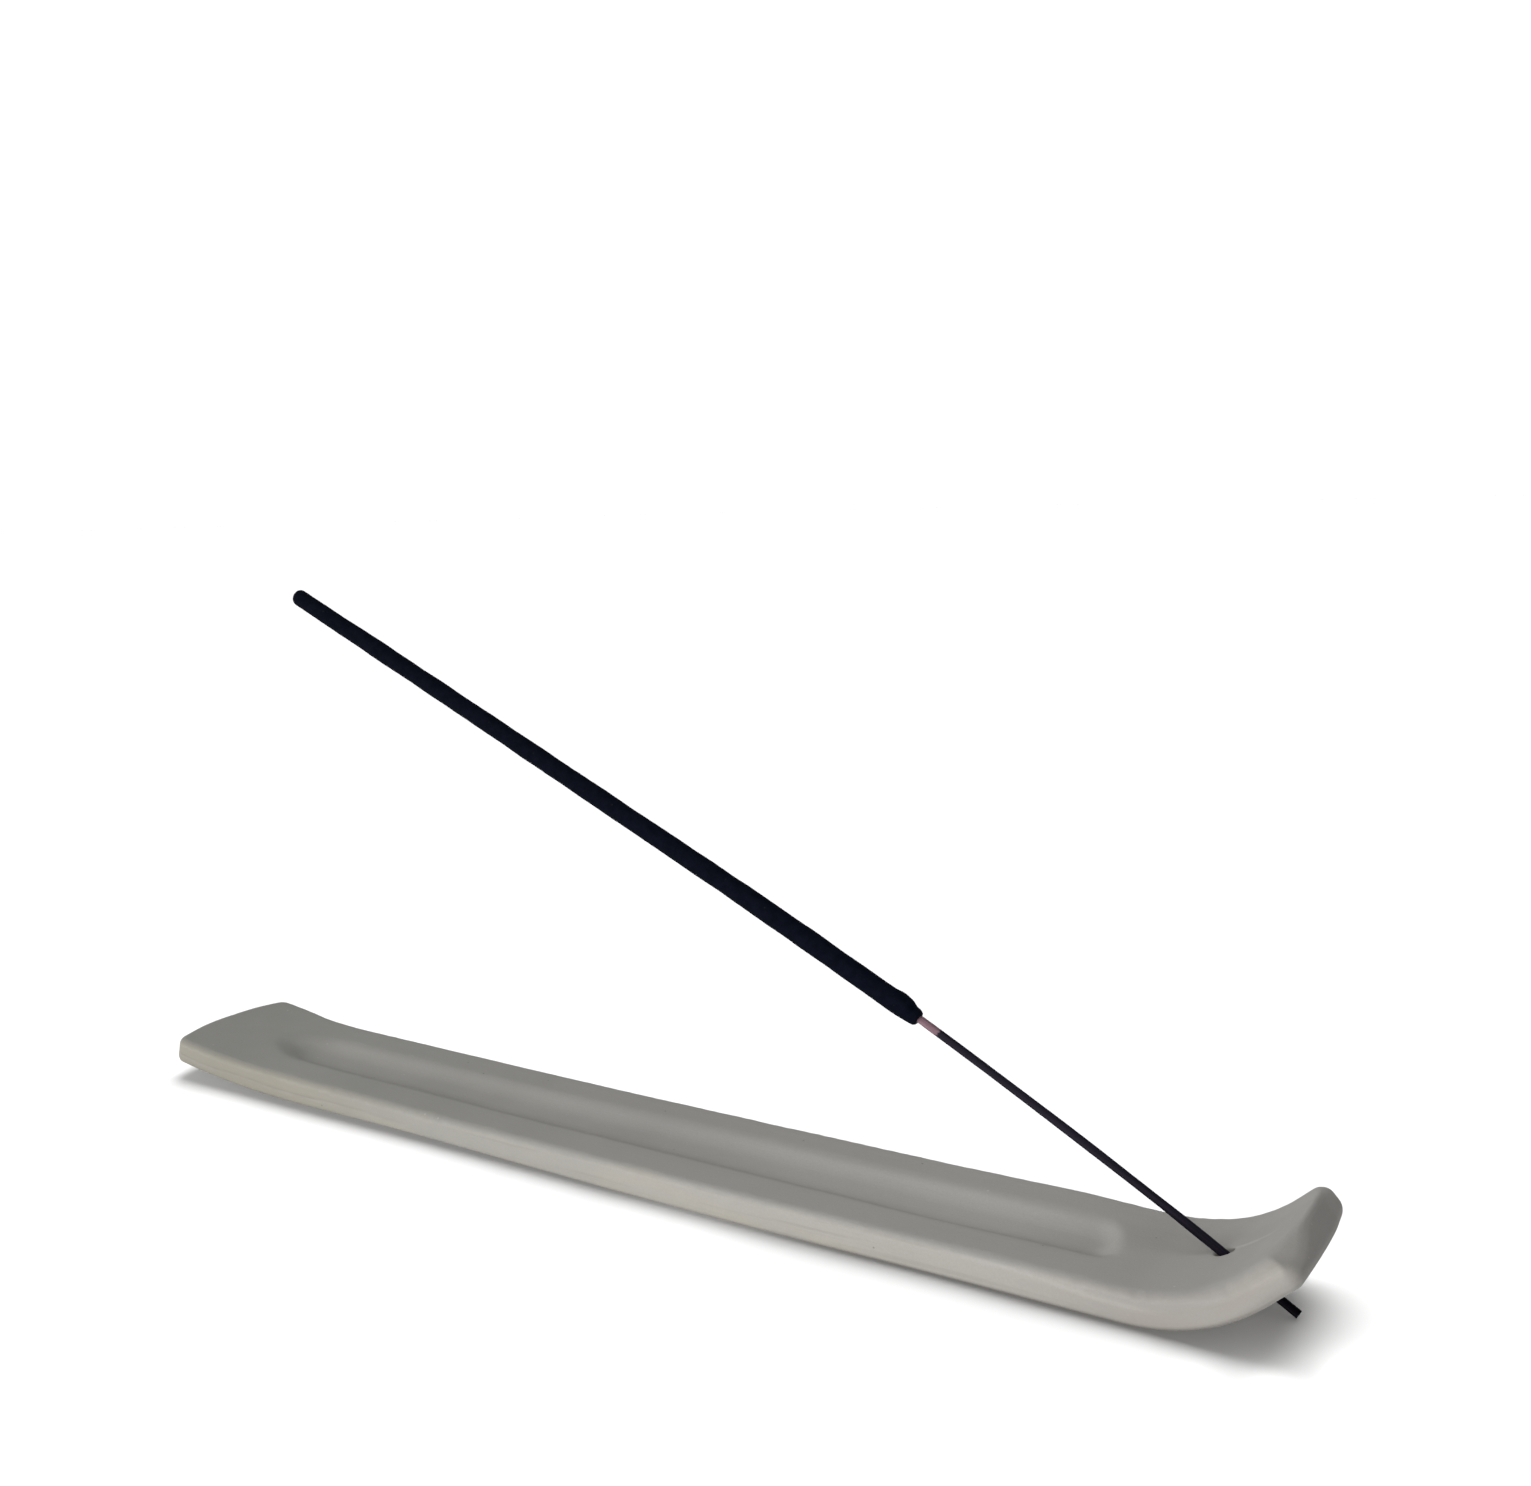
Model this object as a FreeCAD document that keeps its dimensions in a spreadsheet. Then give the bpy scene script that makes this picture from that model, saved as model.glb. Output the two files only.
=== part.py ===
import FreeCAD, Part
import math
import os
import Sketcher

# Ski-shaped incense burner with its stick, in millimetres.
# +Z is up, the tray runs along X with its curled end at +X, and it is symmetric
# about the plane Y = 0. The origin is on the surface that the tray stands on,
# under the middle of the tray.

V = FreeCAD.Vector
doc = FreeCAD.newDocument("incense_burner")
sheet = doc.addObject("Spreadsheet::Sheet", "sizes")

SIZES = [
    # tray, seen from the side
    ("tray_width", 30.02, "width of the runner"),
    ("tray_thick", 5.7, "thickness of the runner"),
    ("curl_start", 96.42, "where the curl leaves the flat underside"),
    ("curl_radius", 32.38, "radius of the curl's underside"),
    ("curl_angle", 41.94, "slope of the curl's tip, degrees"),
    ("lip_length", 6.8, "straight lip after the curl"),
    ("rise_start", 3.44, "left of the origin, where the underside begins to rise"),
    ("rise_radius", 4500.0, "radius of that slow rise"),
    ("flare_start", 90.66, "left of the origin, where the far end flares up"),
    ("flare_radius", 234.8, "radius of the flare"),
    ("end_apex", 122.54, "left of the origin, the far end's furthest point"),
    ("end_blank", 124.6, "left of the origin, end of the blank before trimming"),
    # tray, seen from above, and its edges
    ("end_bow_radius", 39.05, "plan radius of the bowed far end"),
    ("far_corner", 2.3, "plan corner radius at the far end"),
    ("curl_corner", 3.2, "corner radius of the curl's tip"),
    ("top_edge", 1.6, "radius along the upper edge"),
    ("bottom_edge", 1.4, "radius along the lower edge"),
    # ash trough
    ("trough_ball", 10.9, "radius of the round section that makes the trough"),
    ("trough_lift", 8.75, "height of that section's centre over the top face"),
    ("trough_right", 83.8, "centre of the trough's right end"),
    ("trough_left", 93.8, "left of the origin, centre of the trough's left end"),
    # slanted hole for the stick
    ("hole_diameter", 2.84, "hole through the curl"),
    ("hole_tilt", 35.0, "slope of the hole, degrees"),
    ("hole_x", 109.85, "middle of the hole"),
    ("hole_z", 6.05, "middle of the hole"),
    # stick
    ("foot_x", 118.49, "centre of the stick's cut foot"),
    ("foot_z", 0.651, "centre of the stick's cut foot"),
    ("foot_slope", 30.85, "slope of the stick's straight foot, degrees"),
    ("foot_length", 17.9, "length of the straight foot"),
    ("sag_radius", 992.1, "radius of the stick's slight bow"),
    ("top_slope", 25.09, "slope of the stick's straight upper part, degrees"),
    ("core_diameter", 1.4, "bamboo splint"),
    ("core_top", 111.05, "length of the splint above the bow"),
    ("paste_from", 72.51, "length of the splint from its foot to the paste"),
    ("paste_top", 113.58, "length of the paste above the bow"),
    ("paste_low_diameter", 3.74, "paste at its lower end"),
    ("paste_top_diameter", 3.3, "paste at its upper end"),
    ("paste_low_round", 0.5, "rounding of the paste's lower end"),
    ("paste_top_round", 0.8, "rounding of the paste's upper end"),
]
for row, (name, value, note) in enumerate(SIZES, start=1):
    sheet.set("A%d" % row, note)
    sheet.set("B%d" % row, "%s" % value)
    sheet.setAlias("B%d" % row, name)
doc.recompute()


def size(name):
    return float(sheet.get(name))


def plane(body, role):
    for feature in body.Origin.OriginFeatures:
        if feature.Role == role:
            return feature
    raise RuntimeError("no plane " + role)


def new_sketch(body, name, role):
    sketch = body.newObject("Sketcher::SketchObject", name)
    sketch.AttachmentSupport = [(plane(body, role), "")]
    sketch.MapMode = "FlatFace"
    return sketch


def bind(sketch, index, name, expression):
    sketch.renameConstraint(index, name)
    sketch.setExpression("Constraints." + name, expression)


def arc(cx, cy, radius, start_deg, end_deg):
    circle = Part.Circle(V(cx, cy, 0), V(0, 0, 1), radius)
    return Part.ArcOfCircle(circle, math.radians(start_deg), math.radians(end_deg))


def seg(a, b):
    return Part.LineSegment(V(a[0], a[1], 0), V(b[0], b[1], 0))


C = Sketcher.Constraint

# ---------------------------------------------------------------- tray
tray = doc.addObject("PartDesign::Body", "tray")
tray.Label = "tray"

thick = size("tray_thick")
xs = size("curl_start")
rc = size("curl_radius")
ca = size("curl_angle")
lip = size("lip_length")
xr = -size("rise_start")
rr = size("rise_radius")
xf = -size("flare_start")
rf = size("flare_radius")
xb = -size("end_blank")

phi1 = math.degrees(math.asin((xr - xf) / rr))
fx, fz = xf, rr * (1 - math.cos(math.radians(phi1)))
cfx = fx + rf * math.sin(math.radians(phi1))
cfz = fz + rf * math.cos(math.radians(phi1))
phi2 = math.degrees(math.asin((cfx - xb) / rf))
phi2t = math.degrees(math.asin((cfx - xb) / (rf - thick)))
dx, dz = math.cos(math.radians(ca)), math.sin(math.radians(ca))
c1 = (xs + rc * dz, rc - rc * dx)
c2 = (xs + (rc - thick) * dz, rc - (rc - thick) * dx)
d1 = (c1[0] + lip * dx, c1[1] + lip * dz)
e1 = (c2[0] + lip * dx, c2[1] + lip * dz)
g1 = (xb, cfz - rf * math.cos(math.radians(phi2)))
g2 = (xb, cfz - (rf - thick) * math.cos(math.radians(phi2t)))

# The side view: flat underside, curl and lip on the right, slow rise and flare on
# the left, and the same line again one thickness higher.
side = new_sketch(tray, "tray_side", "XZ_Plane")
side.addGeometry(
    [
        seg((xr, 0), (xs, 0)),  # 0 flat underside
        arc(xs, rc, rc, -90, -90 + ca),  # 1 curl, underside
        seg(c1, d1),  # 2 lip, underside
        seg(d1, e1),  # 3 end face of the curl
        seg(e1, c2),  # 4 lip, top
        arc(xs, rc, rc - thick, -90, -90 + ca),  # 5 curl, top
        seg((xs, thick), (xr, thick)),  # 6 flat top
        arc(xr, rr, rr - thick, -90 - phi1, -90),  # 7 slow rise, top
        arc(cfx, cfz, rf - thick, -90 - phi2t, -90 - phi1),  # 8 flare, top
        seg(g2, g1),  # 9 end of the blank
        arc(cfx, cfz, rf, -90 - phi2, -90 - phi1),  # 10 flare, underside
        arc(xr, rr, rr, -90 - phi1, -90),  # 11 slow rise, underside
    ],
    False,
)
side.addConstraint(
    [
        C("Tangent", 0, 2, 1, 1),
        C("Tangent", 1, 2, 2, 1),
        C("Coincident", 2, 2, 3, 1),
        C("Perpendicular", 2, 3),
        C("Coincident", 3, 2, 4, 1),
        C("Parallel", 2, 4),
        C("Tangent", 4, 2, 5, 2),
        C("Tangent", 5, 1, 6, 1),
        C("Tangent", 6, 2, 7, 2),
        C("Tangent", 7, 1, 8, 2),
        C("Coincident", 8, 1, 9, 1),
        C("Coincident", 9, 2, 10, 1),
        C("Tangent", 10, 2, 11, 1),
        C("Tangent", 11, 2, 0, 1),
        C("Coincident", 1, 3, 5, 3),
        C("Coincident", 7, 3, 11, 3),
        C("Coincident", 8, 3, 10, 3),
        C("PointOnObject", 0, 1, -1),
        C("Horizontal", 0),
        C("Horizontal", 6),
        C("Vertical", 9),
    ]
)
for name, constraint, expression in (
    ("curl_start", C("DistanceX", -1, 1, 0, 2, xs), "sizes.curl_start"),
    ("rise_start", C("DistanceX", 0, 1, -1, 1, -xr), "sizes.rise_start"),
    ("curl_radius", C("Radius", 1, rc), "sizes.curl_radius"),
    ("rise_radius", C("Radius", 11, rr), "sizes.rise_radius"),
    ("flare_radius", C("Radius", 10, rf), "sizes.flare_radius"),
    ("thickness", C("DistanceY", 0, 2, 6, 1, thick), "sizes.tray_thick"),
    ("curl_angle", C("Angle", 2, math.radians(ca)), "sizes.curl_angle * 1 deg"),
    ("lip_length", C("Distance", 2, lip), "sizes.lip_length"),
    ("flare_start", C("DistanceX", 11, 1, -1, 1, -xf), "sizes.flare_start"),
    ("end_blank", C("DistanceX", 9, 2, -1, 1, -xb), "sizes.end_blank"),
):
    bind(side, side.addConstraint(constraint), name, expression)
doc.recompute()
if side.solve() != 0:
    raise RuntimeError("tray side sketch doesn't solve")

runner = tray.newObject("PartDesign::Pad", "tray_runner")
runner.Profile = side
runner.SideType = "Symmetric"
runner.setExpression("Length", "sizes.tray_width")
doc.recompute()
blank_volume = tray.Shape.Volume

# The far end is bowed in plan: everything beyond its arc is trimmed off.
re_ = size("end_bow_radius")
xc = -size("end_apex") + re_
reach = 22.0
alpha = math.degrees(math.asin(reach / re_))
ax = xc - re_ * math.cos(math.radians(alpha))
xo = -140.0
bow = new_sketch(tray, "far_end_bow", "XY_Plane")
bow.addGeometry(
    [
        arc(xc, 0, re_, 180 - alpha, 180 + alpha),
        seg((ax, -reach), (xo, -reach)),
        seg((xo, -reach), (xo, reach)),
        seg((xo, reach), (ax, reach)),
    ],
    False,
)
bow.addConstraint(
    [
        C("Coincident", 0, 2, 1, 1),
        C("Coincident", 1, 2, 2, 1),
        C("Coincident", 2, 2, 3, 1),
        C("Coincident", 3, 2, 0, 1),
        C("Horizontal", 1),
        C("Vertical", 2),
        C("Horizontal", 3),
        C("PointOnObject", 0, 3, -1),
        C("DistanceY", -1, 1, 3, 1, reach),
        C("DistanceX", 2, 1, -1, 1, -xo),
    ]
)
bind(bow, bow.addConstraint(C("Radius", 0, re_)), "bow_radius", "sizes.end_bow_radius")
bind(
    bow,
    bow.addConstraint(C("DistanceX", 0, 3, -1, 1, -xc)),
    "bow_centre",
    "sizes.end_apex - sizes.end_bow_radius",
)
trim = tray.newObject("PartDesign::Pocket", "far_end_trim")
trim.Profile = bow
trim.SideType = "Symmetric"
trim.Length = 80
doc.recompute()
if not tray.Shape.Volume < blank_volume - 50:
    raise RuntimeError("the far end wasn't trimmed")


def edges_where(shape, test):
    return ["Edge%d" % (i + 1) for i, edge in enumerate(shape.Edges) if test(edge)]


half = size("tray_width") / 2


def is_post(edge):
    # the four short edges that join the top to the underside at the corners
    a, b = edge.Vertexes[0].Point, edge.Vertexes[-1].Point
    d = b - a
    run = d.x * dx + d.z * dz if a.x > 0 else d.x
    return (
        abs(abs(a.y) - half) < 1e-4
        and abs(d.y) < 1e-4
        and 0.8 * thick < d.Length < 1.4 * thick
        and abs(run) < 0.1
        and abs(a.x) > 105
    )


posts = edges_where(trim.Shape, is_post)
far_posts = [
    n for n in posts if trim.Shape.getElement(n).Vertexes[0].Point.x < 0
]
curl_posts = [n for n in posts if n not in far_posts]
if len(far_posts) != 2 or len(curl_posts) != 2:
    raise RuntimeError("corner edges: %s %s" % (far_posts, curl_posts))
corners_far = tray.newObject("PartDesign::Fillet", "far_corners")
corners_far.Base = (trim, far_posts)
corners_far.setExpression("Radius", "sizes.far_corner")
doc.recompute()
posts = edges_where(corners_far.Shape, is_post)
curl_posts = [
    n for n in posts if corners_far.Shape.getElement(n).Vertexes[0].Point.x > 0
]
if len(curl_posts) != 2:
    raise RuntimeError("curl corner edges: %s" % curl_posts)
corners_curl = tray.newObject("PartDesign::Fillet", "curl_corners")
corners_curl.Base = (corners_far, curl_posts)
corners_curl.setExpression("Radius", "sizes.curl_corner")
doc.recompute()


def height(x):
    # the underside's height at x, on the tray's side view
    if x > d1[0]:
        return d1[1]
    if x > c1[0]:
        return c1[1] + (x - c1[0]) * dz / dx
    if x > xs:
        return rc - math.sqrt(rc * rc - (x - xs) ** 2)
    if x > xr:
        return 0.0
    if x > xf:
        return rr - math.sqrt(rr * rr - (xr - x) ** 2)
    return cfz - math.sqrt(rf * rf - (cfx - x) ** 2)


def is_rim(shape, upper):
    # the edges around the upper or the lower face: one neighbour is that face
    names = set()
    tip = (e1 if upper else d1)[0]
    for face in shape.Faces:
        u0, u1, v0, v1 = face.ParameterRange
        n = face.normalAt((u0 + u1) / 2, (v0 + v1) / 2)
        if (n.z > 0.7 and upper) or (n.z < -0.7 and not upper):
            for edge in face.Edges:
                a, b = edge.Vertexes[0].Point, edge.Vertexes[-1].Point
                across = abs(a.y - b.y) > 2 * half - 0.1 and abs(a.x - b.x) < 1e-4
                straight = edge.Curve.TypeId == "Part::GeomLine"
                inner = across and straight and -110 < a.x < tip - 1
                if not inner:
                    for i, other in enumerate(shape.Edges):
                        if other.isSame(edge):
                            names.add("Edge%d" % (i + 1))
    return sorted(names)


edge_top = tray.newObject("PartDesign::Fillet", "upper_edge")
edge_top.Base = (corners_curl, is_rim(corners_curl.Shape, True))
edge_top.setExpression("Radius", "sizes.top_edge")
doc.recompute()
edge_low = tray.newObject("PartDesign::Fillet", "lower_edge")
edge_low.Base = (edge_top, is_rim(edge_top.Shape, False))
edge_low.setExpression("Radius", "sizes.bottom_edge")
doc.recompute()
rounded_volume = tray.Shape.Volume

# The ash trough: a shallow round-bottomed channel that follows the top face, with
# round ends.
ball = size("trough_ball")
lift = size("trough_lift")
tr, tl = size("trough_right"), -size("trough_left")
zt = thick + lift
rp = rr - zt
psi = math.degrees(math.asin((xr - tl) / rp))
tle = (xr - rp * math.sin(math.radians(psi)), rr - rp * math.cos(math.radians(psi)))
line = new_sketch(tray, "trough_line", "XZ_Plane")
line.addGeometry([seg((tr, zt), (xr, zt)), arc(xr, rr, rp, -90 - psi, -90)], False)
line.addConstraint([C("Tangent", 0, 2, 1, 2), C("Horizontal", 0)])
for name, constraint, expression in (
    ("right", C("DistanceX", -1, 1, 0, 1, tr), "sizes.trough_right"),
    ("level", C("DistanceY", -1, 1, 0, 1, zt), "sizes.tray_thick + sizes.trough_lift"),
    ("bend", C("DistanceX", 0, 2, -1, 1, -xr), "sizes.rise_start"),
    (
        "radius",
        C("Radius", 1, rp),
        "sizes.rise_radius - sizes.tray_thick - sizes.trough_lift",
    ),
    ("left", C("DistanceX", 1, 1, -1, 1, -tl), "sizes.trough_left"),
):
    bind(line, line.addConstraint(constraint), name, expression)
ring = new_sketch(tray, "trough_section", "YZ_Plane")
ring.setExpression("AttachmentOffset.Base.z", "sizes.trough_right")
ring.addGeometry(Part.Circle(V(0, zt, 0), V(0, 0, 1), ball), False)
ring.addConstraint(C("PointOnObject", 0, 3, -2))
bind(
    ring,
    ring.addConstraint(C("DistanceY", -1, 1, 0, 3, zt)),
    "level",
    "sizes.tray_thick + sizes.trough_lift",
)
bind(ring, ring.addConstraint(C("Radius", 0, ball)), "ball", "sizes.trough_ball")
doc.recompute()
channel = tray.newObject("PartDesign::SubtractivePipe", "ash_trough")
channel.Profile = ring
channel.Spine = (line, ["Edge1", "Edge2"])
doc.recompute()
for name, x, z, ex, ez in (
    (
        "trough_right_end",
        tr,
        zt,
        "sizes.trough_right",
        "sizes.tray_thick + sizes.trough_lift",
    ),
    (
        "trough_left_end",
        tle[0],
        tle[1],
        "-sizes.trough_left",
        "sizes.rise_radius - sqrt(pow(sizes.rise_radius - sizes.tray_thick"
        " - sizes.trough_lift; 2) - pow(sizes.trough_left - sizes.rise_start; 2))",
    ),
):
    end = tray.newObject("PartDesign::SubtractiveSphere", name)
    end.Placement = FreeCAD.Placement(V(x, 0, z), FreeCAD.Rotation())
    end.setExpression("Radius", "sizes.trough_ball")
    end.setExpression("Placement.Base.x", ex)
    end.setExpression("Placement.Base.z", ez)
    doc.recompute()
trough_volume = rounded_volume - tray.Shape.Volume
if not 2000 < trough_volume < 6000:
    raise RuntimeError("trough volume %.1f" % trough_volume)

# The slanted hole that holds the stick.
tilt = math.radians(size("hole_tilt"))
hole = tray.newObject("PartDesign::SubtractiveCylinder", "stick_hole")
hole.Placement = FreeCAD.Placement(
    V(
        size("hole_x") + 14 * math.cos(tilt),
        0,
        size("hole_z") - 14 * math.sin(tilt),
    ),
    FreeCAD.Rotation(V(0, 1, 0), size("hole_tilt") - 90),
)
hole.setExpression("Radius", "sizes.hole_diameter / 2")
hole.Height = 28
hole.setExpression("Placement.Base.x", "sizes.hole_x + 14 * cos(sizes.hole_tilt * 1 deg)")
hole.setExpression("Placement.Base.z", "sizes.hole_z - 14 * sin(sizes.hole_tilt * 1 deg)")
hole.setExpression("Placement.Rotation.Angle", "(sizes.hole_tilt - 90) * 1 deg")
doc.recompute()
hole_volume = rounded_volume - trough_volume - tray.Shape.Volume
print("trough %.0f mm3, hole %.2f mm3" % (trough_volume, hole_volume))
if not 25 < hole_volume < 70:
    raise RuntimeError("hole volume %.2f" % hole_volume)


# ---------------------------------------------------------------- stick
a0 = math.radians(size("foot_slope"))
a1 = math.radians(size("top_slope"))
rs = size("sag_radius")
fl = size("foot_length")
p0 = (size("foot_x"), size("foot_z"))
p1 = (p0[0] - fl * math.cos(a0), p0[1] + fl * math.sin(a0))
sc = (p1[0] - rs * math.sin(a0), p1[1] - rs * math.cos(a0))
p2 = (sc[0] + rs * math.sin(a1), sc[1] + rs * math.cos(a1))


def along(top):
    return (p2[0] - top * math.cos(a1), p2[1] + top * math.sin(a1))


def stick_line(body, name, top_cell):
    # the whole line of the stick: straight foot, slight bow, straight top
    sketch = new_sketch(body, name, "XZ_Plane")
    p3 = along(size(top_cell))
    sketch.addGeometry(
        [
            seg(p0, p1),
            arc(sc[0], sc[1], rs, 90 - math.degrees(a0), 90 - math.degrees(a1)),
            seg(p2, p3),
        ],
        False,
    )
    sketch.addConstraint([C("Tangent", 0, 2, 1, 1), C("Tangent", 1, 2, 2, 1)])
    for key, constraint, expression in (
        ("foot_x", C("DistanceX", -1, 1, 0, 1, p0[0]), "sizes.foot_x"),
        ("foot_z", C("DistanceY", -1, 1, 0, 1, p0[1]), "sizes.foot_z"),
        (
            "foot_slope",
            C("Angle", 0, math.pi - a0),
            "(180 - sizes.foot_slope) * 1 deg",
        ),
        ("foot_length", C("Distance", 0, fl), "sizes.foot_length"),
        ("sag_radius", C("Radius", 1, rs), "sizes.sag_radius"),
        (
            "top_slope",
            C("Angle", 2, math.pi - a1),
            "(180 - sizes.top_slope) * 1 deg",
        ),
        ("top_length", C("Distance", 2, size(top_cell)), "sizes." + top_cell),
    ):
        bind(sketch, sketch.addConstraint(constraint), key, expression)
    return sketch


def paste_line(body, name, top_cell):
    # the part of the stick's line that lies inside the paste
    beta = a0 - (size("paste_from") - fl) / rs
    q = (sc[0] + rs * math.sin(beta), sc[1] + rs * math.cos(beta))
    p3 = along(size(top_cell))
    sketch = new_sketch(body, name, "XZ_Plane")
    sketch.addGeometry(
        [
            arc(sc[0], sc[1], rs, 90 - math.degrees(beta), 90 - math.degrees(a1)),
            seg(p2, p3),
        ],
        False,
    )
    sketch.addConstraint([C("Tangent", 0, 2, 1, 1)])
    cx = (
        "sizes.foot_x - sizes.foot_length * cos(sizes.foot_slope * 1 deg)"
        " - sizes.sag_radius * sin(sizes.foot_slope * 1 deg)"
    )
    cz = (
        "sizes.sag_radius * cos(sizes.foot_slope * 1 deg)"
        " - sizes.foot_z - sizes.foot_length * sin(sizes.foot_slope * 1 deg)"
    )
    turn = "(180 / pi * (sizes.paste_from - sizes.foot_length) / sizes.sag_radius)"
    for key, constraint, expression in (
        ("sag_radius", C("Radius", 0, rs), "sizes.sag_radius"),
        ("centre_x", C("DistanceX", 0, 3, -1, 1, -sc[0]), "-(%s)" % cx),
        ("centre_z", C("DistanceY", 0, 3, -1, 1, -sc[1]), cz),
        (
            "start_x",
            C("DistanceX", 0, 3, 0, 1, q[0] - sc[0]),
            "sizes.sag_radius * sin(sizes.foot_slope * 1 deg - %s * 1 deg)" % turn,
        ),
        (
            "top_slope",
            C("Angle", 1, math.pi - a1),
            "(180 - sizes.top_slope) * 1 deg",
        ),
        ("top_length", C("Distance", 1, size(top_cell)), "sizes." + top_cell),
    ):
        bind(sketch, sketch.addConstraint(constraint), key, expression)
    return sketch, q, beta


def section(body, name, point, slope, diameter_cell):
    # a round section square to the stick's line at a point on it
    sketch = body.newObject("Sketcher::SketchObject", name)
    sketch.AttachmentSupport = [(plane(body, "YZ_Plane"), "")]
    sketch.MapMode = "FlatFace"
    sketch.AttachmentOffset = FreeCAD.Placement(
        V(0, point[1], point[0]),
        FreeCAD.Rotation(V(1, 0, 0), math.degrees(slope)),
    )
    radius = size(diameter_cell) / 2
    sketch.addGeometry(Part.Circle(V(0, 0, 0), V(0, 0, 1), radius), False)
    sketch.addConstraint(C("Coincident", 0, 3, -1, 1))
    bind(
        sketch,
        sketch.addConstraint(C("Diameter", 0, 2 * radius)),
        "diameter",
        "sizes." + diameter_cell,
    )
    return sketch


core = doc.addObject("PartDesign::Body", "bamboo_core")
core.Label = "bamboo_core"
core_line = stick_line(core, "core_line", "core_top")
core_ring = section(core, "core_section", p0, a0, "core_diameter")
core_ring.setExpression("AttachmentOffset.Base.y", "sizes.foot_z")
core_ring.setExpression("AttachmentOffset.Base.z", "sizes.foot_x")
doc.recompute()
splint = core.newObject("PartDesign::AdditivePipe", "splint")
splint.Profile = core_ring
splint.Spine = (core_line, ["Edge1", "Edge2", "Edge3"])
doc.recompute()

paste = doc.addObject("PartDesign::Body", "incense_paste")
paste.Label = "incense_paste"
coat_line, q0, beta0 = paste_line(paste, "paste_line", "paste_top")
low_ring = section(paste, "paste_low_section", q0, beta0, "paste_low_diameter")
top_ring = section(
    paste, "paste_top_section", along(size("paste_top")), a1, "paste_top_diameter"
)
doc.recompute()
coat = paste.newObject("PartDesign::AdditivePipe", "paste_coat")
coat.Profile = low_ring
coat.Spine = (coat_line, ["Edge1", "Edge2"])
coat.Transformation = "Multisection"
coat.Sections = [(top_ring, [""])]
doc.recompute()
coat_volume = paste.Shape.Volume
bore_line, q1, beta1 = paste_line(paste, "bore_line", "core_top")
bore_ring = section(paste, "bore_section", q0, beta0, "core_diameter")
doc.recompute()
bore = paste.newObject("PartDesign::SubtractivePipe", "splint_bore")
bore.Profile = bore_ring
bore.Spine = (bore_line, ["Edge1", "Edge2"])
doc.recompute()
if not paste.Shape.Volume < coat_volume - 150:
    raise RuntimeError("the paste has no bore")


def end_edge(shape, point, radius):
    # the outer round edge at one end of the paste
    names = []
    for i, edge in enumerate(shape.Edges):
        if edge.Curve.TypeId != "Part::GeomCircle" and not edge.isClosed():
            continue
        box = edge.BoundBox
        centre = box.Center
        if (centre - V(point[0], 0, point[1])).Length < 0.6 and abs(
            box.YLength / 2 - radius
        ) < 0.05:
            names.append("Edge%d" % (i + 1))
    return names


low_names = end_edge(bore.Shape, q0, size("paste_low_diameter") / 2)
round_low = paste.newObject("PartDesign::Fillet", "paste_low_end")
round_low.Base = (bore, low_names)
round_low.setExpression("Radius", "sizes.paste_low_round")
doc.recompute()
top_names = end_edge(
    round_low.Shape, along(size("paste_top")), size("paste_top_diameter") / 2
)
round_top = paste.newObject("PartDesign::Fillet", "paste_top_end")
round_top.Base = (round_low, top_names)
round_top.setExpression("Radius", "sizes.paste_top_round")
doc.recompute()

# ---------------------------------------------------------------- write
for thing in doc.Objects:
    if "Invalid" in thing.State or "Error" in thing.State:
        raise RuntimeError("%s: %s" % (thing.Name, thing.State))

core_length = fl + rs * (a0 - a1) + size("core_top")
print(
    "splint %.1f mm long, volume %.2f, section times length %.2f"
    % (
        core_length,
        core.Shape.Volume,
        core_length * math.pi * size("core_diameter") ** 2 / 4,
    )
)
os.makedirs("parts", exist_ok=True)
for body in (tray, core, paste):
    shape = body.Shape
    if shape.isNull() or not shape.isValid() or len(shape.Solids) != 1:
        raise RuntimeError("%s: bad shape" % body.Label)
    box = shape.optimalBoundingBox()
    print(
        "%s: %.1f mm3, X %.3f %.3f, Y %.3f %.3f, Z %.3f %.3f"
        % (
            body.Label,
            shape.Volume,
            box.XMin,
            box.XMax,
            box.YMin,
            box.YMax,
            box.ZMin,
            box.ZMax,
        )
    )
    shape.exportStep("parts/%s.step" % body.Label)
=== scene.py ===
import math

import bpy
import numpy as np
from mathutils import Matrix, Vector


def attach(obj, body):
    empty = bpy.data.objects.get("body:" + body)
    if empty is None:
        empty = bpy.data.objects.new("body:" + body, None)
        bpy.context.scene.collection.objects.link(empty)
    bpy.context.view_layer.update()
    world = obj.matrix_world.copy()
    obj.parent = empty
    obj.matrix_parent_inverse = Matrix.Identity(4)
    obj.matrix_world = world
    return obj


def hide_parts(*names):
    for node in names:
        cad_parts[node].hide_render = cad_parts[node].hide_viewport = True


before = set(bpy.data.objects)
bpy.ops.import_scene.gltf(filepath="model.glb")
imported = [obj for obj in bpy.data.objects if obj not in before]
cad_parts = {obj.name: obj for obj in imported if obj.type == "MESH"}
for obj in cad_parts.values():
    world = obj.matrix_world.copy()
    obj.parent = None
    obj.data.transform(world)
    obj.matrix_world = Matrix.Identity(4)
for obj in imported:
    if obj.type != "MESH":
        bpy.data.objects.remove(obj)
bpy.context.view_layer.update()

MM = 0.001

# Ski-shaped incense burner with its stick. Lengths are in millimetres until a mesh
# is written; +X runs to the curled end, +Z is up.

# ------------------------------------------------------------------ camera
# Solved from the photograph's edges for a frame of 1531 by 1486.
FOCAL, FRAME_W = 1637.747, 1531.0
EYE = np.array([177.036, -233.393, 124.251])
YAW, PITCH, ROLL = -0.573169, 0.153944, 0.024815

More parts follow.
